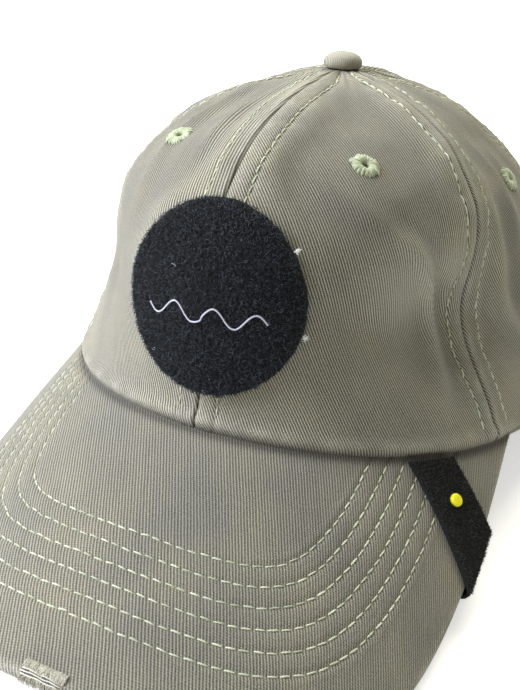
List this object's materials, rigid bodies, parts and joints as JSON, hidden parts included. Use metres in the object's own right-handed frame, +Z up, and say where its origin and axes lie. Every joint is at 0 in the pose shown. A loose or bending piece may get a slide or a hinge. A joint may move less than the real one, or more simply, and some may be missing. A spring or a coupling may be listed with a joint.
{
  "type": "baseball cap",
  "caption": "Soft panelled cap with a curved stitched bill, embroidered vents, a round pile patch in front, and a strap with a clamp buckle that adjusts the opening.",
  "frame": {"origin": "centre of the footprint, on the plane the cap stands on", "axes": "+Z up, -Y from the crown to the bill's front edge, +X to the right of a person who faces the front of the cap"},
  "size_m": [0.1724, 0.2692, 0.1264],
  "materials": {
    "aged_brass": "aged, satin",
    "bill_plastic": "dark sheet, matt",
    "black_pile": "black loop pile, fuzzy",
    "button_steel": "plain pressed steel",
    "line_thread": "pale shiny thread",
    "lining_twill": "plain cotton tape, matt",
    "sweatband_cotton": "brushed cotton, matt",
    "vent_thread": "pale green embroidery thread",
    "washed_twill": "washed cotton twill, matt",
    "yellow_plastic": "bright yellow, satin"
  },
  "bodies": {
    "cap": {"crown_front_panel_left": "washed_twill", "crown_front_panel_right": "washed_twill", "crown_side_panel_left": "washed_twill", "crown_side_panel_right": "washed_twill", "crown_back_panel_left": "washed_twill", "crown_back_panel_right": "washed_twill", "vent_eyelet_front_left": "vent_thread", "vent_eyelet_front_right": "vent_thread", "vent_eyelet_side_left": "vent_thread", "vent_eyelet_side_right": "vent_thread", "vent_eyelet_back_left": "vent_thread", "vent_eyelet_back_right": "vent_thread", "seam_tape_front": "lining_twill", "seam_tape_back": "lining_twill", "seam_tape_front_left": "lining_twill", "seam_tape_front_right": "lining_twill", "seam_tape_back_left": "lining_twill", "seam_tape_back_right": "lining_twill", "button_cover": "washed_twill", "button_core": "button_steel", "button_backing": "button_steel", "sweatband": "sweatband_cotton", "opening_binding": "washed_twill", "bill_top_cover": "washed_twill", "bill_board": "bill_plastic", "bill_under_cover": "washed_twill", "bill_pile_band": "black_pile", "bill_band_dot": "yellow_plastic", "front_patch": "black_pile", "patch_ridge_line": "line_thread", "buckle_frame": "aged_brass", "buckle_pin": "aged_brass", "buckle_tab": "washed_twill"},
    "strap": {"rear_strap": "washed_twill"},
    "lever": {"buckle_lever": "aged_brass"}
  },
  "joints": [
    {"name": "strap_slide", "type": "hinge", "parent": "cap", "child": "strap", "pos_m": [0, 0.04779, 0.01833], "axis": [0, 0.074, 0.9973], "range_deg": [-12, 12]},
    {"name": "buckle_lever_hinge", "type": "hinge", "parent": "cap", "child": "lever", "pos_m": [0.01467, 0.13111, 0.01216], "axis": [0, 0.074, 0.9973], "range_deg": [0, 100]}
  ]
}
